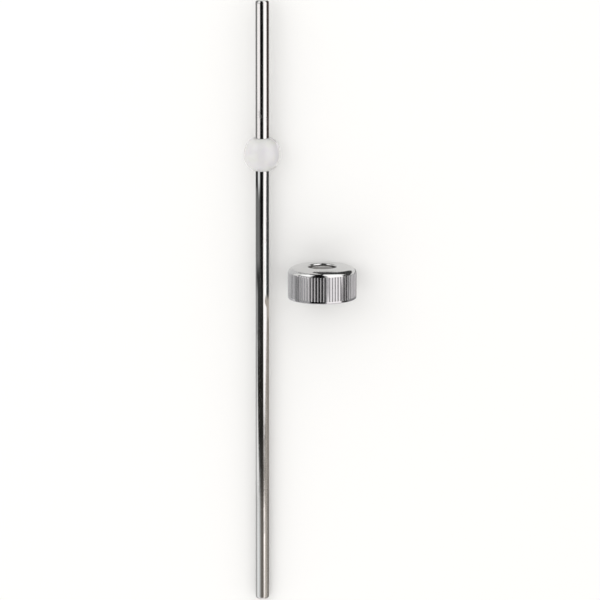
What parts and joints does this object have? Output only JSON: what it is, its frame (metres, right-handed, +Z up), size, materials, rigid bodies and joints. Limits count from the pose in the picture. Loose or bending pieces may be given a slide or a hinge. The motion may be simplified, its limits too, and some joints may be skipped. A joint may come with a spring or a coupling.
{
  "type": "pop-up waste ball rod",
  "caption": "Straight metal ball rod for a basin pop-up waste, with a white plastic ball fixed part-way along it, and a loose knurled cap nut with a round hole in its closed end.",
  "frame": {"origin": "on the surface that the set lies on, under the middle of its bounding box", "axes": "+Y along the rod towards its short end, +X from the rod towards the nut, +Z up from the surface"},
  "size_m": [0.0412, 0.225, 0.0251],
  "materials": {
    "rod_plating": "polished, drawn lengthwise",
    "ball_plastic": "milky white, slightly translucent",
    "nut_plating": "polished, straight knurl"
  },
  "bodies": {
    "ball_rod": {"pivot_rod": "rod_plating", "pivot_ball": "ball_plastic"},
    "nut": {"retaining_nut": "nut_plating"}
  },
  "joints": [
    {"name": "nut_lift", "type": "slide", "parent": "ball_rod", "child": "nut", "axis": [0, 0, 1], "range_m": [0, 0.04]}
  ]
}
